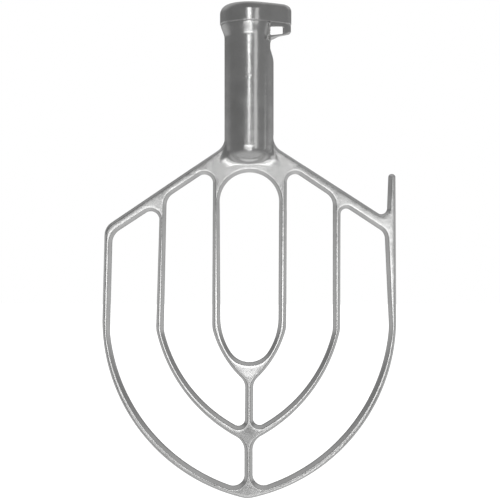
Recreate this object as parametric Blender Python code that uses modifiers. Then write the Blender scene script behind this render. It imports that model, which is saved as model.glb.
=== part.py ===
"""Flat beater paddle for a planetary mixer, cast in one piece from aluminium.

The paddle stands upright. +Z runs up the shank to the socket, the broad face looks along -Y, and
the scraper finger is on +X. The origin is on the shank's axis at the mouth of the socket, so the
whole paddle hangs below z = 0. Left is -X and right is +X, as seen from the front.

The casting is made whole: a drafted frame plate with five windows, a turned shank and the ear of
the bayonet, with the bore and the pin's slot cut out. Then it is sawn into its named sections.
"""

import math

import bmesh
import bpy
from mathutils import Matrix, Vector
from mathutils.bvhtree import BVHTree

MM = 0.001

# Frame plate
HALF_DEPTH = 7.0  # from the parting plane y = 0 to the front or the back
FLANK_RUN = 2.2  # how far the drafted flanks lean in over that depth
CHORD_ERROR = 0.06  # how far an arc's chords may cut inside it

# Radii of the long bows, named after the bar that they bound and the side of it
RIM_OUTER = 134.8
RIM_INNER = 133.0
MIDDLE_OUTER = 118.8
MIDDLE_INNER = 106.7
LOOP_OUTER = 77.1
LOOP_INNER = 48.0

# Shank
TUBE_RADIUS = 18.1
COLLAR_RADIUS = 21.4
COLLAR_ROUND = 5.5
COLLAR_HEIGHT = 14.4
COLLAR_STEP = 0.3
NECK_RADIUS, NECK_MIDDLE = 20.3, 19.0  # the neck's radius, this far below the mouth
NECK_END = 25.0  # the neck has narrowed to the tube here
BOSS_ROUND = 13.5
BOSS_BOTTOM = 117.0
BORE_RADIUS = 12.0
BORE_DEPTH = 85.0
TURNED_STEPS = 56

# Bayonet
EAR_TIP_RADIUS = 11.0
EAR_REACH = 31.2
EAR_ROUND = 3.2
EAR_BLANK_HEIGHT = 29.0  # before the underside is cut to the ramp
RAMP_ANGLE = math.radians(10.4)  # the pin's track rises towards the back
UNDERSIDE_LEVEL = 22.0  # where the ramp's underside crosses the parting plane
TRACK_TOP, TRACK_FLOOR = 15.3, 20.8  # the pin's track, at the parting plane
RELIEF_FLAT = 16.0  # from the axis to the shank's flat under the ear, where the track starts
TRACK_OUTER = 25.1
WALL_SLOT_FRONT, WALL_SLOT_BACK = 4.5, 12.0  # the pin's way through the shank's wall, off y = 0
RELIEF_START, RELIEF_END = 30.0, 33.0  # the flat's last stretch, below the ramped underside
RELIEF_RUNOUT = 40.5  # where the flat has sloped out of the tube's side
SWEEP_TOP, SWEEP_FLOOR = 12.9, 18.7  # the slot that leads round from the back
SWEEP_ANGLES = (20, 58, 96)  # that slot's ends and middle, in degrees round from +X
ENTRY_WIDTH = 7.2

SAW = 0.3  # the gap between neighbouring sections
SAW_REACH = 20.0
SHANK_CUTS = (41.5, 95.5)  # below the mouth
EAR_CUT = 20.5  # the plane that parts the ear from the collar, off the axis
DEEP = 60.0  # longer than any depth that a cutter has to pass

# Each corner of an outline is (x, z, round, bow): its sharp place, the radius that rounds it, and
# the radius of the bow that leads on to the next corner, positive where it bulges to the left of
# the way round and 0 where the side is straight. Outlines run clockwise.
SILHOUETTE = (
    (-17.9, -88.0, 0, 0),
    (17.9, -88.0, 0, 0),
    (17.9, -103.2, 12.0, 0),
    (101.5, -157.2, 4.3, 0),
    (102.8, -124.1, 2.6, 0),
    (108.0, -124.1, 2.6, 0),
    (108.6, -232.0, 0, RIM_OUTER),
    (-1.3, -363.7, 16.0, RIM_OUTER),
    (-108.2, -232.0, 0, 0),
    (-106.5, -163.3, 11.7, 0),
    (-17.9, -103.4, 12.0, 0),
)
INNER_WINDOW = (
    (-21.8, -123.0, 21.9, 0),
    (22.3, -123.0, 21.9, 0),
    (21.7, -231.0, 0, LOOP_INNER),
    (0.2, -269.4, 16.5, LOOP_INNER),
    (-21.2, -231.0, 0, 0),
)
MIDDLE_WINDOW_LEFT = (
    (-60.8, -141.8, 10.3, 0),
    (-26.6, -119.0, 6.3, 0),
    (-27.2, -237.6, 20.0, -LOOP_OUTER),
    (-2.8, -277.2, 10.5, 0),
    (-3.1, -312.8, 4.9, MIDDLE_INNER),
    (-62.9, -239.2, 20.0, 0),
)
MIDDLE_WINDOW_RIGHT = (
    (28.0, -119.1, 6.0, 0),
    (61.8, -141.6, 10.0, 0),
    (61.8, -239.2, 20.0, MIDDLE_INNER),
    (2.9, -312.4, 4.9, 0),
    (3.0, -277.2, 10.5, -LOOP_OUTER),
    (27.4, -237.6, 20.0, 0),
)
OUTER_WINDOW_LEFT = (
    (-100.7, -168.9, 11.0, 0),
    (-65.8, -146.0, 6.3, 0),
    (-68.6, -238.8, 20.0, -MIDDLE_OUTER),
    (-3.4, -321.0, 11.7, 0),
    (-3.4, -356.8, 8.2, RIM_INNER),
    (-102.6, -241.0, 40.0, 0),
)
OUTER_WINDOW_RIGHT = (
    (67.5, -146.1, 4.1, 0),
    (100.0, -167.4, 8.0, 0),
    (103.2, -237.0, 40.0, RIM_INNER),
    (2.6, -356.5, 8.2, 0),
    (2.6, -320.6, 11.7, -MIDDLE_OUTER),
    (67.2, -238.8, 20.0, 0),
)

# Saw cuts through the left half of the frame: a place on the bar, and which way the bar runs
# there, in degrees from level. The right half has the same ones, mirrored.
PAIRED_CUTS = (
    (-38.0, -122.0, 34.0),
    (-55.0, -133.5, 34.0),
    (-78.0, -149.5, 34.0),
    (-91.0, -158.5, 34.0),
    (-64.0, -162.0, 90.0),
    (-104.5, -184.0, 90.0),
    (-24.6, -150.0, 90.0),
    (-24.4, -236.0, 90.0),
    (-65.3, -237.0, 90.0),
    (-105.7, -237.0, 90.0),
    (-13.0, -264.5, -50.0),
    (-13.0, -313.5, -29.0),
    (-20.0, -355.0, -19.0),
)
CENTRE_CUTS = (
    (0.0, -290.0, 90.0),
    (0.0, -304.0, 90.0),
    (-0.3, -334.0, 90.0),
    (-0.3, -346.0, 90.0),
)
FINGER_CUT = (105.0, -150.0, 90.0)

# A place on the front of each section
CENTRE_SECTIONS = {
    "yoke_boss": (0.0, -120.0),
    "inner_loop_foot": (0.0, -272.0),
    "centre_strut_upper": (0.0, -297.0),
    "centre_junction": (0.0, -318.0),
    "centre_strut_lower": (-0.3, -340.0),
    "nose_web": (0.0, -359.0),
    "scraper_finger": (105.4, -137.0),
}
PAIRED_SECTIONS = {
    "shoulder_bar_inner": (46.0, -127.5),
    "shoulder_junction": (66.0, -143.0),
    "shoulder_bar_outer": (84.0, -153.5),
    "rim_corner": (103.0, -168.0),
    "rim_bar": (105.0, -210.0),
    "rim_bow": (82.0, -306.0),
    "middle_bar": (64.5, -200.0),
    "middle_bow": (43.0, -290.0),
    "inner_loop_bar": (24.6, -200.0),
    "inner_loop_bow": (21.0, -253.0),
}
# The shank's sections, by a place inside them as (x, y, z)
SHANK_SECTIONS = {
    "socket_collar": (-22.0, 0.0, -9.0),
    "bayonet_ear": (32.0, 0.0, -8.0),
    "shank_neck": (-19.0, 0.0, -30.0),
    "shank_tube": (-19.0, 0.0, -70.0),
}

ALUMINIUM = (0.62, 0.62, 0.61, 1.0)


def dot(a, b):
    return (a.conjugate() * b).real


def cross(a, b):
    return (a.conjugate() * b).imag


class Side:
    """One side of an outline: straight, or a bow that bulges to the left where bow is positive."""

    def __init__(self, start, end, bow):
        self.start, self.bow = start, bow
        self.along = (end - start) / abs(end - start)
        self.left = self.along * 1j
        if bow:
            rise = math.sqrt(bow**2 - abs(end - start) ** 2 / 4)
            self.centre = (start + end) / 2 - self.left * math.copysign(rise, bow)

    def direction(self, point):
        if not self.bow:
            return self.along
        away = point - self.centre
        return away / abs(away) * (-1j if self.bow > 0 else 1j)

    def distance(self, point):
        """How far the point lies to the left of this side, and the way in which that grows."""
        if not self.bow:
            return dot(point - self.start, self.left), self.left
        away = point - self.centre
        sign = math.copysign(1, self.bow)
        return sign * (abs(away) - abs(self.bow)), sign * away / abs(away)


def rounding(corner, radius, before, after):
    """The centre of the arc that rounds a corner, where it starts and ends, and its turn."""
    turn = math.copysign(1, cross(before.direction(corner), after.direction(corner)))
    if not radius:
        return corner, corner, corner, turn
    centre = corner + turn * radius * (before.left + after.left) / 2
    for _ in range(20):
        (gap_1, grow_1), (gap_2, grow_2) = before.distance(centre), after.distance(centre)
        miss_1, miss_2 = turn * radius - gap_1, turn * radius - gap_2
        area = cross(grow_1, grow_2)
        centre += 1j * (miss_2 * grow_1 - miss_1 * grow_2) / area
    starts = centre - turn * radius * before.distance(centre)[1]
    ends = centre - turn * radius * after.distance(centre)[1]
    return centre, starts, ends, turn


def arc(centre, start, end, turn):
    """Points from start to end round the centre, both ends included. A turn of 1 is to the left."""
    radius = abs(start - centre)
    if radius < 1e-6:
        return [start]
    angle = math.atan2(cross(start - centre, end - centre), dot(start - centre, end - centre))
    if angle * turn < 0:
        angle += turn * math.tau
    widest = 2 * math.acos(1 - CHORD_ERROR / max(radius, 1.0))
    steps = max(1, math.ceil(abs(angle) / widest))
    return [
        centre + (start - centre) * complex(math.cos(angle * i / steps), math.sin(angle * i / steps))
        for i in range(steps + 1)
    ]


def outline(corners):
    """The points, in order, of a closed outline with round corners and bowed sides."""
    places = [complex(x, z) for x, z, _, _ in corners]
    count = len(corners)
    sides = [Side(places[i], places[(i + 1) % count], corners[i][3]) for i in range(count)]
    rounds = [
        rounding(places[i], corners[i][2], sides[i - 1], sides[i]) for i in range(count)
    ]
    points = []
    for i, side in enumerate(sides):
        centre, starts, ends, turn = rounds[i]
        points += arc(centre, starts, ends, turn)
        if side.bow:
            following = rounds[(i + 1) % count][1]
            points += arc(side.centre, ends, following, -math.copysign(1, side.bow))[1:-1]
    return [(point.real, point.imag) for point in points]


def solid_of(obj):
    """The object's evaluated shape, in its place and welded, as a plain mesh object."""
    bpy.context.view_layer.update()
    evaluated = obj.evaluated_get(bpy.context.evaluated_depsgraph_get())
    mesh = bpy.data.meshes.new_from_object(evaluated)
    mesh.transform(obj.matrix_world)
    work = bmesh.new()
    work.from_mesh(mesh)
    bmesh.ops.remove_doubles(work, verts=work.verts, dist=0.000002)
    bmesh.ops.recalc_face_normals(work, faces=work.faces)
    work.to_mesh(mesh)
    work.free()
    solid = bpy.data.objects.new(obj.name, mesh)
    bpy.context.scene.collection.objects.link(solid)
    bpy.data.objects.remove(obj)
    return solid


def flat_shape(name, outlines, half_thickness, edge=0.0, edge_steps=0):
    """A solid with these outlines, in the local XY plane, whose rims lean in by edge."""
    curve = bpy.data.curves.new(name, "CURVE")
    curve.dimensions = "2D"
    curve.fill_mode = "BOTH"
    for points in outlines:
        spline = curve.splines.new("POLY")
        spline.points.add(len(points) - 1)
        for point, (x, y) in zip(spline.points, points):
            point.co = (x * MM, y * MM, 0, 1)
        spline.use_cyclic_u = True
    curve.extrude = (half_thickness - edge) * MM
    curve.bevel_depth = edge * MM
    curve.bevel_resolution = edge_steps
    curve.offset = -edge * MM
    shape = bpy.data.objects.new(name, curve)
    bpy.context.scene.collection.objects.link(shape)
    return shape


def box(name, low, high, turn=None):
    """A box between two corners, turned about the origin by a matrix if one is given."""
    bpy.ops.mesh.primitive_cube_add(size=1)
    block = bpy.context.object
    block.name = name
    size = [(b - a) * MM for a, b in zip(low, high)]
    middle = Vector([(a + b) / 2 * MM for a, b in zip(low, high)])
    placed = Matrix.Translation(middle) @ Matrix.Diagonal((*size, 1))
    block.matrix_world = (turn or Matrix.Identity(4)) @ placed
    return block


def combine(target, other, operation):
    """Joins the other solid to the target, or takes it away from it."""
    modifier = target.modifiers.new(operation.lower(), "BOOLEAN")
    modifier.operation = operation
    modifier.solver = "EXACT"
    modifier.object = other
    result = solid_of(target)
    bpy.data.objects.remove(other)
    return result


def frame_plate():
    """The flat part of the casting: bars and webs with drafted flanks on both sides."""
    windows = (
        INNER_WINDOW,
        MIDDLE_WINDOW_LEFT,
        MIDDLE_WINDOW_RIGHT,
        OUTER_WINDOW_LEFT,
        OUTER_WINDOW_RIGHT,
    )
    outlines = [outline(corners) for corners in (SILHOUETTE, *windows)]
    plate = flat_shape("frame", outlines, FLANK_RUN, FLANK_RUN)
    upright = Matrix.Rotation(math.radians(90), 4, "X")
    plate.matrix_world = upright @ Matrix.Diagonal((1, 1, HALF_DEPTH / FLANK_RUN, 1))
    return solid_of(plate)


def quarter(centre, radius, start, end, steps):
    """Points on an arc of a turned profile, between two angles in degrees."""
    angles = [math.radians(start + (end - start) * i / steps) for i in range(steps + 1)]
    return [(centre[0] + radius * math.cos(a), centre[1] + radius * math.sin(a)) for a in angles]


def turned(name, profile):
    """A solid of revolution about Z from (radius, height) points that run down its outside."""
    mesh = bpy.data.meshes.new(name)
    edges = [(i, i + 1) for i in range(len(profile) - 1)]
    mesh.from_pydata([(radius * MM, 0, z * MM) for radius, z in profile], edges, [])
    body = bpy.data.objects.new(name, mesh)
    bpy.context.scene.collection.objects.link(body)
    screw = body.modifiers.new("turn", "SCREW")
    screw.steps = screw.render_steps = TURNED_STEPS
    screw.use_merge_vertices = True
    screw.merge_threshold = 0.00001
    return solid_of(body)


def shank():
    """Collar, neck and tube, down to the rounded boss that stands proud of the yoke."""
    collar = quarter((COLLAR_RADIUS - COLLAR_ROUND, -COLLAR_ROUND), COLLAR_ROUND, 90, 0, 4)
    boss = quarter(
        (TUBE_RADIUS - BOSS_ROUND, BOSS_ROUND - BOSS_BOTTOM), BOSS_ROUND, 0, -90, 6
    )
    neck = [
        (COLLAR_RADIUS, -COLLAR_HEIGHT),
        (COLLAR_RADIUS - COLLAR_STEP, -COLLAR_HEIGHT - COLLAR_STEP),
        (NECK_RADIUS, -NECK_MIDDLE),
        (TUBE_RADIUS, -NECK_END),
    ]
    return turned("shank", [(0, 0), *collar, *neck, *boss, (0, -BOSS_BOTTOM)])


def ear():
    """The lug that runs off the collar at a tangent and covers the end of the drive pin."""
    tip_centre = EAR_REACH - EAR_TIP_RADIUS
    lean = math.asin((COLLAR_RADIUS - EAR_TIP_RADIUS) / tip_centre)
    root = (COLLAR_RADIUS * math.sin(lean), COLLAR_RADIUS * math.cos(lean))
    apex = COLLAR_RADIUS / math.sin(lean)
    plan = ((root[0], root[1], 0, 0), (apex, 0, EAR_TIP_RADIUS, 0), (root[0], -root[1], 0, 0))
    lug = flat_shape("ear", [outline(plan)], EAR_BLANK_HEIGHT / 2, EAR_ROUND, 2)
    lug.location.z = -EAR_BLANK_HEIGHT / 2 * MM
    return solid_of(lug)


def bayonet_cutters():
    """The bore, the way in for the pin from the top at the back, and its ramp to the ear."""
    ramp = Matrix.Rotation(RAMP_ANGLE, 4, "X")
    bpy.ops.mesh.primitive_cylinder_add(
        vertices=TURNED_STEPS,
        radius=BORE_RADIUS * MM,
        depth=(BORE_DEPTH + 10) * MM,
        location=(0, 0, (10 - BORE_DEPTH) / 2 * MM),
    )
    bore = bpy.context.object
    tilt = math.cos(RAMP_ANGLE)
    underside = box(
        "underside",
        (RELIEF_FLAT, -DEEP, -RELIEF_END * tilt),
        (RELIEF_FLAT + DEEP, DEEP, -UNDERSIDE_LEVEL * tilt),
        ramp,
    )
    low, high = -TRACK_FLOOR * tilt, -TRACK_TOP * tilt
    lean = TRACK_FLOOR * math.sin(RAMP_ANGLE)
    track = box("pin_track", (RELIEF_FLAT, -DEEP, low), (TRACK_OUTER, DEEP, high), ramp)
    wall_slot = box(
        "wall_slot",
        (BORE_RADIUS / 2, -WALL_SLOT_FRONT - lean, low),
        (RELIEF_FLAT + 1, WALL_SLOT_BACK - lean, high),
        ramp,
    )
    entry = box("entry", (-ENTRY_WIDTH / 2, 0, -SWEEP_FLOOR), (ENTRY_WIDTH / 2, DEEP, 5))
    angles = [math.radians(a) for a in SWEEP_ANGLES]
    quarter_turn = [(0, 0)] + [(DEEP * math.cos(a), DEEP * math.sin(a)) for a in angles]
    sweep = flat_shape("sweep", [quarter_turn], (SWEEP_FLOOR - SWEEP_TOP) / 2)
    sweep.location.z = -(SWEEP_FLOOR + SWEEP_TOP) / 2 * MM
    relief_side = (
        (RELIEF_FLAT, -RELIEF_START),
        (DEEP, -RELIEF_START),
        (DEEP, -RELIEF_RUNOUT),
        (TUBE_RADIUS + 0.2, -RELIEF_RUNOUT),
        (RELIEF_FLAT, -RELIEF_END),
    )
    relief = flat_shape("relief", [relief_side], DEEP / 2)
    relief.rotation_euler.x = math.radians(90)
    return bore, underside, track, wall_slot, entry, solid_of(sweep), solid_of(relief)


def saw_blade(x, z, way):
    """A thin box across a bar at this place of the frame."""
    turn = Matrix.Translation((x * MM, 0, z * MM)) @ Matrix.Rotation(-math.radians(way), 4, "Y")
    half = SAW_REACH / 2
    return box("blade", (-SAW / 2, -half, -half * 0.7), (SAW / 2, half, half * 0.7), turn)


def saw_cutters():
    mirrored = [(-x, z, 180 - way) for x, z, way in PAIRED_CUTS]
    for cut in (*PAIRED_CUTS, *mirrored, *CENTRE_CUTS, FINGER_CUT):
        yield saw_blade(*cut)
    wide = 2 * COLLAR_RADIUS
    for depth in SHANK_CUTS:
        yield box("blade", (-wide, -wide, -depth - SAW / 2), (wide, wide, -depth + SAW / 2))
    yield box("blade", (-wide, -wide, -COLLAR_HEIGHT - SAW), (EAR_CUT, wide, -COLLAR_HEIGHT))
    low, high = (EAR_CUT - SAW / 2, -wide, -RELIEF_START), (EAR_CUT + SAW / 2, wide, SAW)
    yield box("blade", low, high)


def aluminium(name):
    """Burnished cast aluminium, as a material of this section's own."""
    material = bpy.data.materials.new(name + "_aluminium")
    material.use_nodes = True
    surface = material.node_tree.nodes["Principled BSDF"]
    surface.inputs["Base Color"].default_value = ALUMINIUM
    surface.inputs["Metallic"].default_value = 1.0
    surface.inputs["Roughness"].default_value = 0.32
    return material


def connected_faces(face):
    """All the faces that can be reached from this one across shared edges."""
    found, waiting = {face}, [face]
    while waiting:
        for edge in waiting.pop().edges:
            for neighbour in edge.link_faces:
                if neighbour not in found:
                    found.add(neighbour)
                    waiting.append(neighbour)
    return found


def section(whole, name, place, collection, parent):
    """Makes an object of the sawn piece that lies nearest to the place."""
    work = bmesh.new()
    work.from_mesh(whole)
    work.faces.ensure_lookup_table()
    nearest = BVHTree.FromBMesh(work).find_nearest(Vector(place) * MM)[2]
    kept = connected_faces(work.faces[nearest])
    bmesh.ops.delete(work, geom=[f for f in work.faces if f not in kept], context="FACES")
    corners = [vertex.co for vertex in work.verts]
    low = Vector([min(c[i] for c in corners) for i in range(3)])
    high = Vector([max(c[i] for c in corners) for i in range(3)])
    middle = (low + high) / 2
    bmesh.ops.translate(work, verts=work.verts, vec=-middle)
    mesh = bpy.data.meshes.new(name)
    work.to_mesh(mesh)
    work.free()
    mesh.materials.append(aluminium(name))
    mesh.shade_smooth()
    mesh.set_sharp_from_angle(angle=math.radians(28))
    piece = bpy.data.objects.new(name, mesh)
    piece.location = middle
    piece.parent = parent
    collection.objects.link(piece)


def section_places():
    front = -HALF_DEPTH
    for name, (x, z) in CENTRE_SECTIONS.items():
        yield name, (x, front, z)
    for name, (x, z) in PAIRED_SECTIONS.items():
        yield name + "_left", (-x, front, z)
        yield name + "_right", (x, front, z)
    yield from SHANK_SECTIONS.items()


def main():
    for obj in list(bpy.data.objects):
        bpy.data.objects.remove(obj)
    casting = combine(frame_plate(), shank(), "UNION")
    casting = combine(casting, ear(), "UNION")
    for cutter in bayonet_cutters():
        casting = combine(casting, cutter, "DIFFERENCE")
    for blade in saw_cutters():
        casting = combine(casting, blade, "DIFFERENCE")
    collection = bpy.data.collections.new("flat_beater_paddle")
    bpy.context.scene.collection.children.link(collection)
    socket_mouth = bpy.data.objects.new("socket_mouth", None)
    collection.objects.link(socket_mouth)
    for name, place in section_places():
        section(casting.data, name, place, collection, socket_mouth)
    bpy.data.objects.remove(casting)


main()
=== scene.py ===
"""The looks of the flat beater paddle: one burnished aluminium casting in its named sections.

The sections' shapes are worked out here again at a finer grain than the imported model's, in the
same frame: +Z up the shank, the broad front looks along -Y, and the origin is on the shank's axis
at the socket's mouth. Lengths are in millimetres until a mesh is made.

The frame of bars is swept from its outlines: rows of points run beside each outline, up its
drafted flank and over its rounded edge. The shank with its socket, and the yoke below it, are
surfaces of one field, which is the distance outside the metal. All of them are then cut into the
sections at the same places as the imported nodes.
"""

import math

import bmesh
import bpy
import numpy as np
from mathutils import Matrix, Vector, geometry, kdtree
from mathutils.bvhtree import BVHTree


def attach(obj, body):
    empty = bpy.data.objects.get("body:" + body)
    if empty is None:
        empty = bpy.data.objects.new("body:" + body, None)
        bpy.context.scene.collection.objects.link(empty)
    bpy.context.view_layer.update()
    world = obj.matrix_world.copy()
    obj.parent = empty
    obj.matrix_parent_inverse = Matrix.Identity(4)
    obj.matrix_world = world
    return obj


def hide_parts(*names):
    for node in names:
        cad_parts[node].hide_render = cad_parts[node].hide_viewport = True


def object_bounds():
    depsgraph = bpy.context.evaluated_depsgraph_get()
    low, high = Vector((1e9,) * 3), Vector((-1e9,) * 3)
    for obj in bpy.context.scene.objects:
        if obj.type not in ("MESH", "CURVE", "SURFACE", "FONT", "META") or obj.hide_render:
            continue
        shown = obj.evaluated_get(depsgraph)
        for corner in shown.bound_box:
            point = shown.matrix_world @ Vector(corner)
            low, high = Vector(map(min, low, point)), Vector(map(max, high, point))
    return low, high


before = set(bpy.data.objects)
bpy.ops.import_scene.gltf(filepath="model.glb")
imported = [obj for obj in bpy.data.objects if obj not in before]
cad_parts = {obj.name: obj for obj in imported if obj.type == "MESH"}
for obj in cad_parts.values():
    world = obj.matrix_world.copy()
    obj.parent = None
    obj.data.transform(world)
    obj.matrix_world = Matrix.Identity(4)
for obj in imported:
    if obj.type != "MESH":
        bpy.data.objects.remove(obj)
cad_box = [list(corner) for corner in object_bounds()]

MM = 0.001

# Frame plate
HALF_DEPTH = 7.0  # from the parting plane y = 0 to the front or the back
FLANK_RUN = 2.0  # how far the drafted flanks lean in over that depth
FLANK_LENGTH = math.hypot(HALF_DEPTH, FLANK_RUN)
EDGE_ROUND = 0.55  # between a flank and the front or the back
EDGE_TANGENT = EDGE_ROUND * math.tan((math.pi / 2 - math.atan2(FLANK_RUN, HALF_DEPTH)) / 2)
ROUND_ENDS = FLANK_RUN + EDGE_TANGENT  # depths into the metal where that rounding ends and starts
ROUND_STARTS = FLANK_RUN - EDGE_TANGENT * FLANK_RUN / FLANK_LENGTH
CROWN, CROWN_REACH = 0.11, 2.4  # how far the front falls off towards its edges, and from where
ROW_DEPTHS = (  # of the rows of points beside an outline: on the flank, the rounding, the crown
    *(0.0, 0.7, 1.35),
    *np.linspace(ROUND_STARTS, ROUND_ENDS, 6),
    *np.linspace(ROUND_ENDS, FLANK_RUN + CROWN_REACH, 5)[1:],
)
RIDGE_SHARE = 0.97  # how much of the way to a bar's middle the last row may go
ROW_SPACING = 2.0  # between places along an outline
TURN_SPACING = 0.12  # the same on a tight turn, as a share of its radius

# Radii of the long bows, named after the bar that they bound and the side of it
RIM_OUTER = 134.8
RIM_INNER = 133.0
MIDDLE_OUTER = 118.8
MIDDLE_INNER = 106.7
LOOP_OUTER = 77.1
LOOP_INNER = 48.0

# Shank
TUBE_RADIUS = 18.1
COLLAR_RADIUS = 21.4
COLLAR_ROUND = 6.8
COLLAR_HEIGHT = 14.4
CREASE = 0.3  # how deep and how tall the step under the collar is
GROOVE_LEVEL, GROOVE_WIDTH = -14.6, 0.4  # of the dark line along that step
BOSS_ROUND = 13.5
BOSS_BOTTOM = 117.0
BORE_RADIUS = 12.0
BORE_DEPTH = 85.0
NECK_FLARE = 3.0  # how much wider the shank gets towards the collar
NECK_BOTTOM, NECK_TOP = -24.6, -13.2
BOSS_FILLET = 1.6  # width of the soft fillet under the boss
SHOULDER_FILLET = 9.0  # how much wider it is where the shank runs out into the shoulders
SHOULDER_START, SHOULDER_END = 4, 20  # from the axis, where that comes in
EDGE_FILLET = 0.4  # its width on an outline
FILLET_DEPTH = 9  # depth into the metal where it has its full width

# Bayonet
EAR_TIP_RADIUS = 11.0
EAR_REACH = 31.2
EAR_ROUND = 4.6
EAR_START = 15.7  # from the axis to where the ear stands out from the neck
EAR_FILLET = 4.0  # under the ear, where it meets the relief
FILLET_INNER, FILLET_OUTER = 14.8, 15.5  # from the axis, where that fillet comes in
CREVICE = 0.1  # the least fillet between the ear and the shank
EAR_ROUND_STARTS, EAR_ROUND_ENDS = 2, 22  # the rim's round narrows between these, off the axis
RAMP_ANGLE = math.radians(10.4)  # the pin's track rises towards the back
UNDERSIDE_LEVEL = 22.2
UNDERSIDE_RISE = 0.2  # outwards, from the shank to the tip
UNDERSIDE_ROUND = 2.2
TRACK_TOP, TRACK_FLOOR = 15.3, 20.8  # the pin's track, at the parting plane
TRACK_INNER, TRACK_OUTER = 15.6, 25.1
WALL_SLOT_FRONT, WALL_SLOT_BACK = 4.5, 12.0  # the pin's way through the shank's wall, off y = 0
RELIEF_LEVELS = (-40.5, -33.0)
RELIEF_FLATS = (18.3, 15.5)  # from the axis to the relief under the ear, at those levels
RELIEF_ROUND, TRACK_ROUND, SLOT_ROUND, BORE_ROUND = 0.8, 0.9, 0.5, 0.6  # of their edges
SWEEP_TOP, SWEEP_FLOOR = 12.9, 18.7
SWEEP_START, SWEEP_END = math.radians(20), math.radians(96)
ENTRY_WIDTH = 7.2

# Nicks in the front, as (x, z, which way they run in degrees, half length, half width, depth)
DENTS = (
    (-1.3, -55.0, 25.0, 1.5, 0.5, 0.10),
    (1.0, -53.9, -8.0, 1.2, 0.5, 0.12),
    (26.2, -12.7, -45.0, 1.3, 0.6, 0.12),
    (3.2, -52.0, 10.0, 0.5, 0.4, 0.08),
)

# Each corner of an outline is (x, z, round, bow): its sharp place, the radius that rounds it, and
# the radius of the bow that leads on to the next corner, positive where it bulges to the left of
# the way round and 0 where the side is straight. Outlines run clockwise.
SILHOUETTE = (
    (-17.9, -88.0, 0, 0),
    (17.9, -88.0, 0, 0),
    (17.9, -103.2, 12.0, 0),
    (101.5, -157.2, 4.3, 0),
    (102.8, -124.1, 2.6, 0),
    (108.0, -124.1, 2.6, 0),
    (108.6, -232.0, 0, RIM_OUTER),
    (-1.3, -363.7, 16.0, RIM_OUTER),
    (-108.2, -232.0, 0, 0),
    (-106.5, -163.3, 11.7, 0),
    (-17.9, -103.4, 12.0, 0),
)
INNER_WINDOW = (
    (-21.8, -123.0, 21.9, 0),
    (22.3, -123.0, 21.9, 0),
    (21.7, -231.0, 0, LOOP_INNER),
    (0.2, -269.4, 16.5, LOOP_INNER),
    (-21.2, -231.0, 0, 0),
)
MIDDLE_WINDOW_LEFT = (
    (-60.8, -141.8, 10.3, 0),
    (-26.6, -119.0, 6.3, 0),
    (-27.2, -237.6, 20.0, -LOOP_OUTER),
    (-2.8, -277.2, 10.5, 0),
    (-3.1, -312.8, 4.9, MIDDLE_INNER),
    (-62.9, -239.2, 20.0, 0),
)
MIDDLE_WINDOW_RIGHT = (
    (28.0, -119.1, 6.0, 0),
    (61.8, -141.6, 10.0, 0),
    (61.8, -239.2, 20.0, MIDDLE_INNER),
    (2.9, -312.4, 4.9, 0),
    (3.0, -277.2, 10.5, -LOOP_OUTER),
    (27.4, -237.6, 20.0, 0),
)
OUTER_WINDOW_LEFT = (
    (-100.7, -168.9, 11.0, 0),
    (-65.8, -146.0, 6.3, 0),
    (-68.6, -238.8, 20.0, -MIDDLE_OUTER),
    (-3.4, -321.0, 11.7, 0),
    (-3.4, -356.8, 8.2, RIM_INNER),
    (-102.6, -241.0, 40.0, 0),
)
OUTER_WINDOW_RIGHT = (
    (67.5, -146.1, 4.1, 0),
    (100.0, -167.4, 8.0, 0),
    (103.2, -237.0, 40.0, RIM_INNER),
    (2.6, -356.5, 8.2, 0),
    (2.6, -320.6, 11.7, -MIDDLE_OUTER),
    (67.2, -238.8, 20.0, 0),
)
# Each outline with the side that its metal is on: 1 for the left of the way round, -1 for the right
OUTLINES = (
    (SILHOUETTE, -1),
    (INNER_WINDOW, 1),
    (MIDDLE_WINDOW_LEFT, 1),
    (MIDDLE_WINDOW_RIGHT, 1),
    (OUTER_WINDOW_LEFT, 1),
    (OUTER_WINDOW_RIGHT, 1),
)

# Cuts through the left half of the frame: a place on the bar, and which way the bar runs there, in
# degrees from level. The right half has the same ones, mirrored.
PAIRED_CUTS = (
    (-38.0, -122.0, 34.0),
    (-55.0, -133.5, 34.0),
    (-78.0, -149.5, 34.0),
    (-91.0, -158.5, 34.0),
    (-64.0, -162.0, 90.0),
    (-104.5, -184.0, 90.0),
    (-24.6, -150.0, 90.0),
    (-24.4, -236.0, 90.0),
    (-65.3, -237.0, 90.0),
    (-105.7, -237.0, 90.0),
    (-13.0, -264.5, -50.0),
    (-13.0, -313.5, -29.0),
    (-20.0, -355.0, -19.0),
)
SINGLE_CUTS = (
    (0.0, -290.0, 90.0),
    (0.0, -304.0, 90.0),
    (-0.3, -334.0, 90.0),
    (-0.3, -346.0, 90.0),
    (105.0, -150.0, 90.0),
)
CUT_REACH = 9.0
TUBE_TOP, TUBE_BOTTOM = -41.5, -95.5
COLLAR_CUT = -16.1
EAR_CUT = 20.5

# A place on the front of each section of the frame
CENTRE_SECTIONS = {
    "inner_loop_foot": (0.0, -272.0),
    "centre_strut_upper": (0.0, -297.0),
    "centre_junction": (0.0, -318.0),
    "centre_strut_lower": (-0.3, -340.0),
    "nose_web": (0.0, -359.0),
    "scraper_finger": (105.4, -137.0),
}
PAIRED_SECTIONS = {
    "shoulder_bar_inner": (46.0, -127.5),
    "shoulder_junction": (66.0, -143.0),
    "shoulder_bar_outer": (84.0, -153.5),
    "rim_corner": (103.0, -168.0),
    "rim_bar": (105.0, -210.0),
    "rim_bow": (82.0, -306.0),
    "middle_bar": (64.5, -200.0),
    "middle_bow": (43.0, -290.0),
    "inner_loop_bar": (24.6, -200.0),
    "inner_loop_bow": (21.0, -253.0),
}

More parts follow.
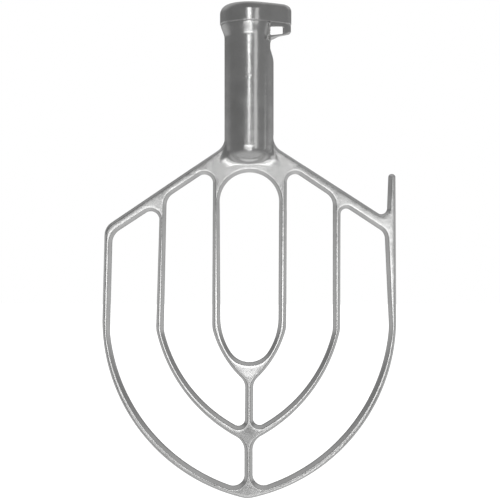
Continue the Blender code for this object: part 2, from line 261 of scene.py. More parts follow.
SAME_PLACE = 1e-7  # how near two points may lie before a fill takes them for one
HEAD_CELL, YOKE_CELL = 0.5, 0.6  # the grain of the field's surfaces
HEAD_BOX = (-22.81, -22.93, -44.37), (33, 23, 1)  # off the round numbers that the faces lie on
YOKE_BOX = (-43, -20, -153), (43, 20, -94)
YOKE_CUTS = ((38.0, -122.0), (24.6, -150.0))  # those of the frame's that bound the yoke
TUBE_STEPS, TUBE_RING = 144, 0.9  # the plain shank's places round, and the height of its rings
BORE_RINGS = 30
LEVEL_REACH = 5  # how far above and below a level cut faces may be cut
DENT_SIDE = (2, 6)  # how far in front of the parting plane the nicks start and are whole


# ---------------------------------------------------------------- outlines, as complex x + z i


def dot(a, b):
    return (a.conjugate() * b).real


def cross(a, b):
    return (a.conjugate() * b).imag


class Side:
    """One side of an outline: straight, or a bow that bulges to the left where bow is positive."""

    def __init__(self, start, end, bow):
        self.start, self.bow = start, bow
        self.along = (end - start) / abs(end - start)
        self.left = self.along * 1j
        if bow:
            rise = math.sqrt(bow**2 - abs(end - start) ** 2 / 4)
            self.centre = (start + end) / 2 - self.left * math.copysign(rise, bow)

    def direction(self, point):
        if not self.bow:
            return self.along
        away = point - self.centre
        return away / abs(away) * (-1j if self.bow > 0 else 1j)

    def distance(self, point):
        """How far the point lies to the left of this side, and the way in which that grows."""
        if not self.bow:
            return dot(point - self.start, self.left), self.left
        away = point - self.centre
        sign = math.copysign(1, self.bow)
        return sign * (abs(away) - abs(self.bow)), sign * away / abs(away)


def rounding(corner, radius, before, after):
    """The centre of the arc that rounds a corner, where it starts and ends, and its turn."""
    turn = math.copysign(1, cross(before.direction(corner), after.direction(corner)))
    if not radius:
        return corner, corner, corner, turn
    centre = corner + turn * radius * (before.left + after.left) / 2
    for _ in range(20):
        (gap_1, grow_1), (gap_2, grow_2) = before.distance(centre), after.distance(centre)
        miss_1, miss_2 = turn * radius - gap_1, turn * radius - gap_2
        area = cross(grow_1, grow_2)
        centre += 1j * (miss_2 * grow_1 - miss_1 * grow_2) / area
    starts = centre - turn * radius * before.distance(centre)[1]
    ends = centre - turn * radius * after.distance(centre)[1]
    return centre, starts, ends, turn


class Run:
    """A straight or round stretch of an outline. A turn of 1 is to the left, 0 is straight."""

    def __init__(self, start, end, metal, centre=0, turn=0):
        self.start, self.centre, self.turn, self.metal = start, centre, turn, metal
        self.step = (end - start) / max(abs(end - start), 1e-9)
        self.length, self.radius = abs(end - start), abs(start - centre)
        if turn:
            spokes = start - centre, end - centre
            angle = math.atan2(cross(*spokes), dot(*spokes))
            self.angle = angle + turn * math.tau if angle * turn < 0 else angle
            self.length = abs(self.angle) * self.radius

    def places(self, spacing):
        """Points from the start, the end left out, each with the way into the metal."""
        count = max(1, math.ceil(self.length / spacing))
        for i in range(count):
            if self.turn:
                spoke = (self.start - self.centre) * np.exp(1j * self.angle * i / count)
                yield self.centre + spoke, -self.turn * self.metal * spoke / self.radius
            else:
                point = self.start + self.step * self.length * i / count
                yield point, self.step * 1j * self.metal


def runs(corners, metal):
    """The runs of an outline, in order."""
    places = [complex(x, z) for x, z, _, _ in corners]
    count = len(corners)
    sides = [Side(places[i], places[(i + 1) % count], corners[i][3]) for i in range(count)]
    rounds = [
        rounding(places[i], corners[i][2], sides[i - 1], sides[i]) for i in range(count)
    ]
    for i, side in enumerate(sides):
        centre, starts, ends, turn = rounds[i]
        if abs(ends - starts) > 1e-6:
            yield Run(starts, ends, metal, centre, turn)
        following = rounds[(i + 1) % count][1]
        if side.bow:
            yield Run(ends, following, metal, side.centre, -math.copysign(1, side.bow))
        else:
            yield Run(ends, following, metal)


class Metal:
    """Tells how deep in the frame's metal a place is, seen from the front."""

    SPACING = 0.3

    def __init__(self, loops):
        self.runs = [run for loop in loops for run in loop]
        samples = [
            (point, i) for i, run in enumerate(self.runs) for point, _ in run.places(self.SPACING)
        ]
        self.owner = np.array([i for _, i in samples])
        self.tree = kdtree.KDTree(len(samples))
        for index, (point, _) in enumerate(samples):
            self.tree.insert((point.real, point.imag, 0), index)
        self.tree.balance()
        self.start = np.array([run.start for run in self.runs])
        self.inward = np.array([run.step * 1j * run.metal for run in self.runs])
        self.centre = np.array([run.centre for run in self.runs], complex)
        self.radius = np.array([run.radius for run in self.runs])
        self.sign = np.array([run.turn * run.metal for run in self.runs])

    def depth(self, places):
        """Distances into the metal, negative outside it, for an array of complex places."""
        flat = np.ravel(places)
        find = self.tree.find
        nearest = np.array([find((p.real, p.imag, 0))[1] for p in flat])
        run = self.owner[nearest]
        away = flat - self.start[run]
        straight = (away.conjugate() * self.inward[run]).real
        bent = self.sign[run] * (self.radius[run] - np.abs(flat - self.centre[run]))
        return np.where(self.sign[run] == 0, straight, bent).reshape(np.shape(places))


LOOPS = [list(runs(corners, metal)) for corners, metal in OUTLINES]
METAL = Metal(LOOPS)


# ---------------------------------------------------------------- fields: distance off the metal


def joined(a, b, fillet):
    """Both shapes as one, with a round fillet where they meet."""
    return np.maximum(fillet, np.minimum(a, b)) - np.hypot(
        np.maximum(fillet - a, 0), np.maximum(fillet - b, 0)
    )


def melted(a, b, width):
    """Both shapes as one, with a soft fillet whose ends can't be made out."""
    share = np.maximum(1 - np.abs(a - b) / width, 0)
    return np.minimum(a, b) - width * share**3 / 6


def common(a, b, rounding_radius):
    """What both shapes hold, with its edge rounded."""
    return -joined(-a, -b, rounding_radius)


def smooth_step(value, start, end):
    share = np.clip((value - start) / (end - start), 0, 1)
    return share * share * (3 - 2 * share)


def crown(depth):
    edge = np.clip(1 - (depth - FLANK_RUN) / CROWN_REACH, 0, 1)
    return CROWN * np.clip(depth / FLANK_RUN, 0, 1) * edge**2


def plate_field(depth, y):
    away = np.abs(y) + crown(depth)
    flank = (FLANK_RUN * away - HALF_DEPTH * depth) / FLANK_LENGTH
    across, up = depth - ROUND_ENDS, away - (HALF_DEPTH - EDGE_ROUND)
    rounded = (across < 0) & (across * FLANK_RUN + up * HALF_DEPTH > 0)
    return np.where(
        rounded, np.hypot(across, up) - EDGE_ROUND, np.maximum(flank, away - HALF_DEPTH)
    )


def plate_height(depth):
    """How far the frame's front stands off the parting plane, at a depth into the metal."""
    across = np.minimum(depth - ROUND_ENDS, 0)
    top = HALF_DEPTH - EDGE_ROUND + np.sqrt(np.maximum(EDGE_ROUND**2 - across**2, 0))
    return np.where(depth < ROUND_STARTS, depth * HALF_DEPTH / FLANK_RUN, top) - crown(depth)


def hull_field(x, y, inset):
    """The collar's and the ear's outline from above, a circle drawn out to a smaller one."""
    reach = EAR_REACH - EAR_TIP_RADIUS
    lean = (COLLAR_RADIUS - EAR_TIP_RADIUS) / reach
    flat = math.sqrt(1 - lean**2)
    side = np.abs(y)
    along = flat * x - lean * side
    tangent = lean * x + flat * side - COLLAR_RADIUS
    tip = np.hypot(x - reach, side) - EAR_TIP_RADIUS
    round_end = np.hypot(x, side) - COLLAR_RADIUS
    return np.where(along < 0, round_end, np.where(along > flat * reach, tip, tangent)) + inset


def dents(x, y, z):
    """How far the metal's front dips under the nicks."""
    total = 0
    for at, level, way, long, wide, depth in DENTS:
        along, rise = math.cos(math.radians(way)), math.sin(math.radians(way))
        run = ((x - at) * along + (z - level) * rise) / long
        off = ((z - level) * along - (x - at) * rise) / wide
        total = total + depth * np.exp(-(run**2) - off**2)
    return total * smooth_step(-y, *DENT_SIDE)


def shank_field(x, y, z):
    radius = np.hypot(x, y)
    groove = CREASE * np.exp(-(((z - GROOVE_LEVEL) / GROOVE_WIDTH) ** 2))
    dip = dents(x, y, z) + groove
    across, down = radius - (TUBE_RADIUS - BOSS_ROUND), BOSS_ROUND - BOSS_BOTTOM - z
    tube = np.hypot(np.maximum(across, 0), np.maximum(down, 0)) - BOSS_ROUND
    tube += np.minimum(np.maximum(across, down), 0)
    tube -= NECK_FLARE * smooth_step(z, NECK_BOTTOM, NECK_TOP)
    tube = np.maximum(tube + dip, z + COLLAR_HEIGHT - 1)
    outward = UNDERSIDE_RISE * (x - TRACK_OUTER)
    ramp = (y * math.tan(RAMP_ANGLE) + outward - UNDERSIDE_LEVEL - z) * math.cos(RAMP_ANGLE)
    relief = np.maximum(np.interp(z, RELIEF_LEVELS, RELIEF_FLATS) - x, -ramp)
    tube = common(tube, -relief, RELIEF_ROUND)
    inset = CREASE * smooth_step(-z, COLLAR_HEIGHT, COLLAR_HEIGHT + CREASE)
    on_ear = smooth_step(x, EAR_ROUND_STARTS, EAR_ROUND_ENDS)
    round_top = COLLAR_ROUND + (EAR_ROUND - COLLAR_ROUND) * on_ear
    head = common(hull_field(x, y, inset + dip), z, round_top)
    collar = np.maximum(head, -COLLAR_HEIGHT - z)
    ear = np.maximum(common(head, ramp, UNDERSIDE_ROUND), EAR_START - x)
    under_ear = EAR_FILLET * smooth_step(-z, COLLAR_HEIGHT, COLLAR_HEIGHT + EAR_FILLET)
    under_ear *= smooth_step(x, FILLET_INNER, FILLET_OUTER)
    outside = np.minimum(collar, joined(ear, tube, CREVICE + under_ear))
    climb = z * math.cos(RAMP_ANGLE) - y * math.sin(RAMP_ANGLE)
    track_middle = -(TRACK_TOP + TRACK_FLOOR) / 2 * math.cos(RAMP_ANGLE)
    track_half = (TRACK_FLOOR - TRACK_TOP) / 2 * math.cos(RAMP_ANGLE)
    rise = np.maximum(climb - track_middle, track_middle - climb + outward / 2) - track_half
    track = common(np.maximum(TRACK_INNER - x, x - TRACK_OUTER), rise, TRACK_ROUND)
    wall = np.maximum.reduce([BORE_RADIUS / 2 - x, x - TRACK_INNER - 1, -WALL_SLOT_FRONT - y])
    wall_slot = np.maximum.reduce([wall, y - WALL_SLOT_BACK, rise])
    entry = np.maximum.reduce([np.abs(x) - ENTRY_WIDTH / 2, -SWEEP_FLOOR - z, -y])
    first = x * math.sin(SWEEP_START) - y * math.cos(SWEEP_START)
    last = y * math.cos(SWEEP_END) - x * math.sin(SWEEP_END)
    sweep = np.maximum.reduce([first, last, z + SWEEP_TOP, -SWEEP_FLOOR - z])
    slots = np.minimum.reduce([track, wall_slot, entry, sweep])
    bore = np.maximum(radius - BORE_RADIUS, -BORE_DEPTH - z)
    return common(common(outside, -slots, SLOT_ROUND), -bore, BORE_ROUND)


def fillet_width(x, depth):
    """Tight under the boss, and soft where the shank runs out into the shoulders."""
    outwards = smooth_step(np.abs(x), SHOULDER_START, SHOULDER_END)
    soft = BOSS_FILLET + SHOULDER_FILLET * outwards
    return EDGE_FILLET + soft * smooth_step(depth, 0, FILLET_DEPTH)


def casting_field(points):
    """The whole casting, for an (n, 3) array of points."""
    x, y, z = points.T
    depth = METAL.depth(x + 1j * z)
    return melted(plate_field(depth, y), shank_field(x, y, z), fillet_width(x, depth))


def slope(field, points, step=0.02):
    """Which way the field grows, at each point."""
    moves = np.eye(3) * step
    return np.stack([field(points + m) - field(points - m) for m in moves], 1) / (2 * step)


# ---------------------------------------------------------------- meshes


def mesh_of(name, points, faces):
    mesh = bpy.data.meshes.new(name)
    mesh.from_pydata(np.asarray(points).tolist(), [], faces)
    mesh.update()
    return mesh


def row_spacing(run):
    return min(ROW_SPACING, TURN_SPACING * run.radius) if run.turn else ROW_SPACING


def reach_of(point, inward):
    """How far into the metal the outline at this place is still the nearest one."""
    low, high = 0.0, ROW_DEPTHS[-1] / RIDGE_SHARE + 0.2
    for _ in range(9):
        middle = (low + high) / 2
        if METAL.depth(np.array([point + inward * middle]))[0] > middle - 0.01:
            low = middle
        else:
            high = middle
    return low


def enclosed(edges, faces, _, row_sides):
    """The triangles that lie an odd number of rows in from the outside."""
    rows = {frozenset(edge) for edge, made_of in zip(edges, row_sides) if made_of}
    beside = {}
    for face in faces:
        for i in range(3):
            beside.setdefault(frozenset((face[i], face[i - 1])), []).append(tuple(face))
    odd = {both[0]: edge in rows for edge, both in beside.items() if len(both) == 1}
    waiting = list(odd)
    while waiting:
        face = waiting.pop()
        for i in range(3):
            edge = frozenset((face[i], face[i - 1]))
            for other in beside[edge]:
                if other not in odd:
                    odd[other] = odd[face] != (edge in rows)
                    waiting.append(other)
    return [face for face, is_odd in odd.items() if is_odd]


def swept_frame():
    """The frame plate: rows along each outline, closed by flat faces between the last rows."""
    points, faces, last_rows = [], [], []
    depths = np.array(ROW_DEPTHS)
    for loop in LOOPS:
        places = [place for run in loop for place in run.places(row_spacing(run))]
        rows = []
        for point, inward in places:
            reach = min(RIDGE_SHARE * reach_of(point, inward), ROW_DEPTHS[-1])
            share = (reach - ROUND_STARTS) / (ROW_DEPTHS[-1] - ROUND_STARTS)
            bent = np.where(
                depths > ROUND_STARTS, ROUND_STARTS + (depths - ROUND_STARTS) * share, depths
            )
            at = point + inward * bent
            front = np.stack([at.real, -plate_height(bent), at.imag], 1)
            rows.append(np.concatenate([front[::-1], front[1:] * (1, -1, 1)]))
        wide = len(rows[0])
        first = len(points)
        points += [place for row in rows for place in row]
        count = len(rows)
        for i in range(count):
            here, there = first + i * wide, first + (i + 1) % count * wide
            faces += [
                (here + k, there + k, there + k + 1, here + k + 1) for k in range(wide - 1)
            ]
        last_rows.append([first + i * wide for i in range(count)])
    for offset in (0, 2 * len(depths) - 2):
        flat = [index + offset for row in last_rows for index in row]
        sides, begun = [], 0
        for row in last_rows:
            ring = range(begun, begun + len(row))
            sides += [(i, begun + (i - begun + 1) % len(row)) for i in ring]
            begun += len(row)
        plane = [Vector((points[i][0], points[i][2])) for i in flat]
        made = geometry.delaunay_2d_cdt(plane, sides, [], 0, SAME_PLACE)
        corners = [flat[ids[0]] for ids in made[3]]
        faces += [tuple(corners[i] for i in face) for face in enclosed(*made[1:5])]
    return mesh_of("frame", points, faces)


def net(field, low, high, cell):
    """The surface of a field inside a box, as a net of quads."""
    axes = [np.arange(a, b + cell, cell) for a, b in zip(low, high)]
    values = field(*np.meshgrid(*axes, indexing="ij", sparse=True))
    inside = values < 0
    cells = tuple(n - 1 for n in values.shape)
    total = np.zeros((*cells, 3))
    crossings = np.zeros(cells)
    for axis in range(3):
        others = [i for i in range(3) if i != axis]
        for shift_a in (0, 1):
            for shift_b in (0, 1):
                starts = [0, 0, 0]
                starts[others[0]], starts[others[1]] = shift_a, shift_b
                near = tuple(slice(s, s + n) for s, n in zip(starts, cells))
                far = list(near)
                far[axis] = slice(1, 1 + cells[axis])
                a, b = values[near], values[tuple(far)]
                crossed = (a < 0) != (b < 0)
                share = np.where(crossed, a / np.where(crossed, a - b, 1), 0)
                total[..., axis] += np.where(crossed, share, 0)
                total[..., others[0]] += np.where(crossed, shift_a, 0)
                total[..., others[1]] += np.where(crossed, shift_b, 0)
                crossings += crossed
    active = crossings > 0
    number = np.full(cells, -1)
    number[active] = np.arange(active.sum())
    corner = np.stack(np.meshgrid(*[axis[:n] for axis, n in zip(axes, cells)], indexing="ij"), -1)
    points = corner[active] + total[active] / crossings[active][:, None] * cell
    faces = []
    for axis in range(3):
        others = [i for i in range(3) if i != axis]
        near = [slice(1, n) for n in cells]
        near[axis] = slice(0, cells[axis])
        far = list(near)
        far[axis] = slice(1, cells[axis] + 1)
        a, b = inside[tuple(near)], inside[tuple(far)]
        where = np.argwhere(a != b)
        where[:, others] += 1
        ring = []
        for back_a, back_b in ((0, 0), (1, 0), (1, 1), (0, 1)):
            cell_of = where.copy()
            cell_of[:, others[0]] -= back_a
            cell_of[:, others[1]] -= back_b
            ring.append(number[tuple(cell_of.T)])
        faces.append(np.stack(ring, 1))
    faces = np.concatenate(faces)
    return points, faces[(faces >= 0).all(1)]


def settle(points, rounds=4):
    """Moves points onto the casting's surface."""
    for _ in range(rounds):
        grow = slope(casting_field, points)
        steep = np.maximum((grow**2).sum(1), 0.25)
        move = -(casting_field(points) / steep)[:, None] * grow
        points = points + np.clip(move, -0.3, 0.3)
    return points


def grid_field(x, y, z):
    """casting_field for a grid's axes, which asks for each depth only once."""
    depth = METAL.depth((x + 1j * z)[:, 0, :])[:, None, :]
    x, y, z, depth = np.broadcast_arrays(x, y, z, depth)
    return melted(plate_field(depth, y), shank_field(x, y, z), fillet_width(x, depth))


def netted(name, low, high, cell):
    points, faces = net(grid_field, low, high, cell)
    return mesh_of(name, settle(points), faces.tolist())


def turned_tube():
    """The plain stretch of the shank, with its blind bore."""
    above, below = TUBE_TOP + 2, TUBE_BOTTOM - 2
    levels = np.linspace(above, below, math.ceil((above - below) / TUBE_RING))
    bore_levels = np.linspace(-BORE_DEPTH + BORE_ROUND, above, BORE_RINGS)
    outer = [(TUBE_RADIUS, z) for z in levels]
    bore = [(BORE_RADIUS, z) for z in bore_levels]
    floor = [(r, -BORE_DEPTH) for r in (0.5, 4, 8, BORE_RADIUS - BORE_ROUND)]
    points, faces = [], []
    for profile in (outer, floor + bore):
        first = len(points)
        for radius, z in profile:
            turns = np.arange(TUBE_STEPS) / TUBE_STEPS * math.tau
            points += [(radius * math.cos(a), radius * math.sin(a), z) for a in turns]
        for i in range(len(profile) - 1):
            for k in range(TUBE_STEPS):
                a, b = first + i * TUBE_STEPS + k, first + i * TUBE_STEPS + (k + 1) % TUBE_STEPS
                faces.append((a, b, b + TUBE_STEPS, a + TUBE_STEPS))
        if profile is not outer:
            faces.append(tuple(range(first, first + TUBE_STEPS)))
    return mesh_of("tube", points, faces)


# ---------------------------------------------------------------- cutting into sections


def close(work, rim, normal):
    """Fills the flat hole that these edges bound."""
    across = normal.orthogonal().normalized()
    up = normal.cross(across)
    number = {}
    for edge in rim:
        for vertex in edge.verts:
            number.setdefault(vertex, len(number))
    corners = list(number)
    plane = [Vector((corner.co.dot(across), corner.co.dot(up))) for corner in corners]
    sides = [[number[vertex] for vertex in edge.verts] for edge in rim]
    made = geometry.delaunay_2d_cdt(plane, sides, [], 0, SAME_PLACE)
    for face in enclosed(*made[1:5]):
        work.faces.new([corners[made[3][i][0]] for i in face])


def cut(work, place, normal, chosen):
    """Cuts the chosen faces at a plane and closes both sides."""
    place, normal = Vector(place), Vector(normal)
    picked = [face for face in work.faces if chosen(face.calc_center_median())]
    parts = {edge for face in picked for edge in face.edges}
    corners = {vertex for face in picked for vertex in face.verts}
    made = bmesh.ops.bisect_plane(
        work, geom=[*picked, *parts, *corners], plane_co=place, plane_no=normal, dist=1e-5
    )
    line = [item for item in made["geom_cut"] if isinstance(item, bmesh.types.BMEdge)]
    split = bmesh.ops.split_edges(work, edges=line)["edges"]
    both = dict.fromkeys(edge for edge in [*line, *split] if edge.is_valid and edge.is_boundary)
    rims = ([], [])
    for edge in both:
        beyond = (edge.link_faces[0].calc_center_median() - place).dot(normal) > 0
        rims[beyond].append(edge)
    for rim in rims:
        close(work, rim, normal)


def near(x, z):
    return lambda c: math.hypot(c.x - x, c.z - z) < CUT_REACH


def cut_level(work, level, reach=LEVEL_REACH):
    cut(work, (0, 0, level), (0, 0, 1), lambda c: abs(c.z - level) < reach)


def cut_frame(work, wanted=lambda x, z: True):
    mirrored = [(-x, z, 180 - way) for x, z, way in PAIRED_CUTS]
    for x, z, way in (*PAIRED_CUTS, *mirrored, *SINGLE_CUTS):
        if wanted(x, z):
            angle = math.radians(way)
            cut(work, (x, 0, z), (math.cos(angle), 0, math.sin(angle)), near(x, z))


def section(work, place):
    """A copy of the closed body that lies nearest to the place."""
    whole = BVHTree.FromBMesh(work)
    work.faces.ensure_lookup_table()
    start = work.faces[whole.find_nearest(Vector(place))[2]]
    found, waiting = {start}, [start]
    while waiting:
        for edge in waiting.pop().edges:
            for face in edge.link_faces:
                if face not in found:
                    found.add(face)
                    waiting.append(face)
    numbers, points, faces = {}, [], []
    for face in sorted(found, key=lambda f: f.index):
        for vertex in face.verts:
            if vertex not in numbers:
                numbers[vertex] = len(points)
                points.append(tuple(vertex.co))
        faces.append([numbers[vertex] for vertex in face.verts])
    return points, faces


def piece(node, points, faces, material):
    """The visible piece that stands for a CAD node, with its normals taken from the field."""
    points = np.array(points)
    name = "cast_" + node
    mesh = mesh_of(name, points * MM, faces)
    work = bmesh.new()
    work.from_mesh(mesh)
    bmesh.ops.recalc_face_normals(work, faces=work.faces)
    work.to_mesh(mesh)
    work.free()
    grow = slope(casting_field, points)
    normals = grow / np.linalg.norm(grow, axis=1)[:, None]
    corner_vertex = np.empty(len(mesh.loops), int)
    mesh.loops.foreach_get("vertex_index", corner_vertex)
    sizes = np.array([polygon.loop_total for polygon in mesh.polygons])
    flats = np.array([tuple(polygon.normal) for polygon in mesh.polygons])
    flats = np.repeat(flats, sizes, axis=0)
    smooth = normals[corner_vertex]
    agree = (smooth * flats).sum(1) > 0.7
    mesh.shade_smooth()
    mesh.normals_split_custom_set(np.where(agree[:, None], smooth, flats).tolist())
    mesh.materials.append(material)
    body = bpy.data.objects.new(name, mesh)
    bpy.context.scene.collection.objects.link(body)
    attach(body, "root")
    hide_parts(node)
    return body


def make_pieces(material):
    work = bmesh.new()
    work.from_mesh(swept_frame())
    cut_frame(work)
    front = -HALF_DEPTH
    places = {name: (x, front, z) for name, (x, z) in CENTRE_SECTIONS.items()}
    for name, (x, z) in PAIRED_SECTIONS.items():
        places[name + "_left"] = (-x, front, z)
        places[name + "_right"] = (x, front, z)
    for name, place in places.items():
        piece(name, *section(work, place), material)
    work.free()

    work = bmesh.new()
    work.from_mesh(netted("yoke", *YOKE_BOX, YOKE_CELL))
    cut_level(work, TUBE_BOTTOM)
    cut_frame(work, lambda x, z: (abs(x), z) in YOKE_CUTS)
    piece("yoke_boss", *section(work, (0, front, -120)), material)
    work.free()

    work = bmesh.new()
    work.from_mesh(turned_tube())
    cut_level(work, TUBE_TOP)
    cut_level(work, TUBE_BOTTOM)
    piece("shank_tube", *section(work, (0, -TUBE_RADIUS, -70)), material)
    work.free()

    work = bmesh.new()
    work.from_mesh(netted("head", *HEAD_BOX, HEAD_CELL))
    cut_level(work, TUBE_TOP, 2)
    cut(work, (EAR_CUT, 0, 0), (1, 0, 0), lambda c: c.x > EAR_CUT - 5)
    piece("bayonet_ear", *section(work, (EAR_REACH, 0, -8)), material)
    without_ear = mesh_of("without_ear", *section(work, (-COLLAR_RADIUS, 0, -9)))
    work.clear()
    work.from_mesh(without_ear)
    cut_level(work, COLLAR_CUT)
    piece("socket_collar", *section(work, (-COLLAR_RADIUS, 0, -9)), material)
    piece("shank_neck", *section(work, (-TUBE_RADIUS, 0, -35)), material)
    work.free()


# ---------------------------------------------------------------- looks

CAMERA_PLACE = Vector((0.0007, -0.84, -0.1802))
CAMERA_VIEW = math.radians(24.77)
AIM = Vector((0, 0, -0.18))  # the middle of the paddle, which every panel faces

# The soft panels: name, centre, width, height, and radiance as a mirror would show it
PANELS = (
    ("key", (0.005, -0.86, 0.175), 0.085, 0.51, 1.65),
    ("key_low", (0.005, -0.86, -0.27), 0.085, 0.20, 1.5),
    ("collar", (0.02, -0.88, 0.25), 0.2, 0.24, 1.2),
    ("side_left", (-0.21, -0.88, -0.13), 0.20, 0.14, 0.56),
    ("side_right", (0.21, -0.88, -0.13), 0.20, 0.14, 0.56),
    ("low_right", (0.15, -0.86, -0.47), 0.07, 0.32, 1.5),
    ("band", (0.0, -0.88, -0.24), 0.62, 0.12, 1.35),
    ("low_left", (-0.20, -0.86, -0.44), 0.24, 0.22, 0.6),
    ("right", (0.44, -0.74, -0.05), 0.2, 0.9, 0.5),
    ("far_right", (0.85, -0.13, -0.18), 0.07, 0.42, 0.46),
    ("low", (0.05, -2.0, -1.2), 0.7, 0.6, 0.7),
)

# The room's radiance ramps: which part of the direction, its range, and the radiances at the ends
BEHIND = (0.0, 0.5, 0, 1)  # on Y: the share of what lies behind the paddle
UNDER_LEVEL = (0.15, 0.0, 0.02, 0.27)  # on Z
OVERHEAD = (0.2, 0.5, 0.0, 0.2)  # on Z
NEAR_TABLE = (-0.5, -0.8, 0.18, 0.44)  # on Z
ACROSS = (-1, 1, 0.86, 1.08)  # on X: the right is a little brighter than the left

# Burnished metal: tones, and the scale and detail of its noises
DARK_TONE, LIGHT_TONE = (0.74, 0.74, 0.735, 1), (0.90, 0.90, 0.895, 1)
CLOUDS, GRAIN, RUBS, WAVES = (60, 6), (1500, 3), (700, 3), (90, 2)
RUB_STRETCH = (1, 1, 0.12)  # the rubs are drawn out along the shank
CLOUD_TONE, GRAIN_TONE = (0.35, 0.65, 0, 0.6), (0.3, 0.7, 0, 0.4)  # noise to share of the tone
GRAIN_ROUGH, CLOUD_ROUGH = (0.3, 0.7, 0.09, 0.13), (0.3, 0.7, 0.07, 0.15)  # noise to roughness
WAVE_HEIGHT, RUB_HEIGHT, GRAIN_HEIGHT = 0.00025, 0.000015, 0.00002


def ranged(tree, value, low, high, to_low, to_high):
    """The value, taken from one range to another and held to it."""
    made = tree.nodes.new("ShaderNodeMapRange")
    numbers = zip(("From Min", "From Max", "To Min", "To Max"), (low, high, to_low, to_high))
    for name, number in numbers:
        made.inputs[name].default_value = number
    tree.links.new(value, made.inputs["Value"])
    return made.outputs["Result"]


def combined(tree, operation, first, second):
    made = tree.nodes.new("ShaderNodeMath")
    made.operation = operation
    tree.links.new(first, made.inputs[0])
    tree.links.new(second, made.inputs[1])
    return made.outputs["Value"]


def noise(tree, place, scale, detail):
    made = tree.nodes.new("ShaderNodeTexNoise")
    made.inputs["Scale"].default_value = scale
    made.inputs["Detail"].default_value = detail
    tree.links.new(place, made.inputs["Vector"])
    return made.outputs["Fac"]


def bumped(tree, height, distance, over=None):
    made = tree.nodes.new("ShaderNodeBump")
    made.inputs["Distance"].default_value = distance
    tree.links.new(height, made.inputs["Height"])
    if over:
        tree.links.new(over, made.inputs["Normal"])
    return made.outputs["Normal"]


def burnished_aluminium():
    """Bare aluminium, tumbled bright: cloudy tone, fine grain, soft waves and drawn-out rubs."""
    material = bpy.data.materials.new("burnished_cast_aluminium")
    material.use_nodes = True
    tree = material.node_tree
    links = tree.links
    surface = tree.nodes["Principled BSDF"]
    surface.inputs["Metallic"].default_value = 1.0
    place = tree.nodes.new("ShaderNodeTexCoord").outputs["Object"]
    drawn = tree.nodes.new("ShaderNodeMapping")
    drawn.inputs["Scale"].default_value = RUB_STRETCH
    links.new(place, drawn.inputs["Vector"])
    rubs = noise(tree, drawn.outputs["Vector"], *RUBS)
    clouds = noise(tree, place, *CLOUDS)
    grain = noise(tree, place, *GRAIN)
    tone = tree.nodes.new("ShaderNodeMix")
    tone.data_type = "RGBA"
    tone.inputs["A"].default_value = DARK_TONE
    tone.inputs["B"].default_value = LIGHT_TONE
    cloudy = ranged(tree, clouds, *CLOUD_TONE)
    mixed = combined(tree, "ADD", cloudy, ranged(tree, grain, *GRAIN_TONE))
    links.new(mixed, tone.inputs["Factor"])
    links.new(tone.outputs["Result"], surface.inputs["Base Color"])
    grained = ranged(tree, grain, *GRAIN_ROUGH)
    rough = combined(tree, "ADD", grained, ranged(tree, clouds, *CLOUD_ROUGH))
    links.new(rough, surface.inputs["Roughness"])
    waves = bumped(tree, noise(tree, place, *WAVES), WAVE_HEIGHT)
    rubbed = bumped(tree, rubs, RUB_HEIGHT, waves)
    links.new(bumped(tree, grain, GRAIN_HEIGHT, rubbed), surface.inputs["Normal"])
    return material


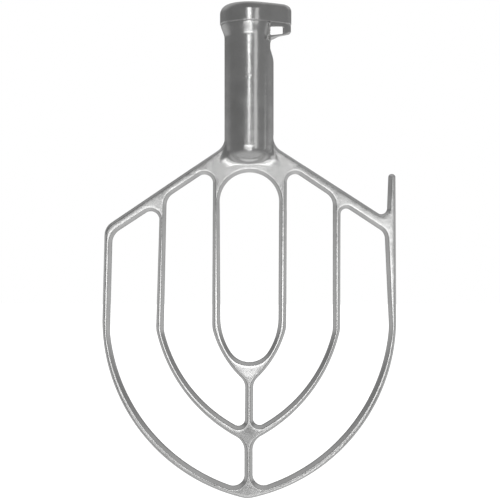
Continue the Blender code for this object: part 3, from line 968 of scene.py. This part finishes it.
def set_world():
    """A pale room that is darker above and in front, and white to the camera."""
    world = bpy.data.worlds.new("studio")
    bpy.context.scene.world = world
    world.use_nodes = True
    tree = world.node_tree
    links = tree.links
    place = tree.nodes.new("ShaderNodeTexCoord")
    split = tree.nodes.new("ShaderNodeSeparateXYZ")
    links.new(place.outputs["Generated"], split.inputs["Vector"])
    behind = ranged(tree, split.outputs["Y"], *BEHIND)
    under_level = ranged(tree, split.outputs["Z"], *UNDER_LEVEL)
    overhead = ranged(tree, split.outputs["Z"], *OVERHEAD)
    far = combined(tree, "MULTIPLY", behind, combined(tree, "ADD", under_level, overhead))
    near_table = ranged(tree, split.outputs["Z"], *NEAR_TABLE)
    both = combined(tree, "ADD", far, near_table)
    room = combined(tree, "MULTIPLY", both, ranged(tree, split.outputs["X"], *ACROSS))
    seen = tree.nodes.new("ShaderNodeMix")
    seen.inputs["B"].default_value = 1.0
    ray = tree.nodes.new("ShaderNodeLightPath")
    links.new(ray.outputs["Is Camera Ray"], seen.inputs["Factor"])
    links.new(room, seen.inputs["A"])
    links.new(seen.outputs["Result"], tree.nodes["Background"].inputs["Color"])


def panel(name, centre, width, height, radiance):
    """A soft light that faces the paddle, as bright as its radiance in a mirror."""
    light = bpy.data.lights.new(name, "AREA")
    light.shape = "RECTANGLE"
    light.size, light.size_y = width, height
    light.energy = radiance * width * height * math.pi
    lamp = bpy.data.objects.new(name, light)
    lamp.location = centre
    lamp.rotation_euler = (AIM - lamp.location).to_track_quat("-Z", "Y").to_euler()
    bpy.context.scene.collection.objects.link(lamp)


def set_stage():
    bpy.ops.mesh.primitive_plane_add(size=6, location=(0, 0, cad_box[0][2]))
    floor = bpy.context.object
    floor.name = "floor"
    floor.visible_glossy = False
    floor.visible_shadow = False
    pale = bpy.data.materials.new("pale_floor")
    pale.use_nodes = True
    surface = pale.node_tree.nodes["Principled BSDF"]
    surface.inputs["Base Color"].default_value = (0.9, 0.9, 0.9, 1)
    surface.inputs["Roughness"].default_value = 1.0
    surface.inputs["Emission Color"].default_value = (1, 1, 1, 1)
    surface.inputs["Emission Strength"].default_value = 1.0
    floor.data.materials.append(pale)
    for row in PANELS:
        panel(*row)
    camera = bpy.data.objects.new("camera", bpy.data.cameras.new("camera"))
    camera.location = CAMERA_PLACE
    camera.rotation_euler = (math.radians(90), 0, 0)
    camera.data.angle = CAMERA_VIEW
    camera.data.clip_start = 0.01
    bpy.context.scene.collection.objects.link(camera)
    bpy.context.scene.camera = camera
    bpy.context.scene.view_settings.view_transform = "Standard"


set_world()
set_stage()
make_pieces(burnished_aluminium())
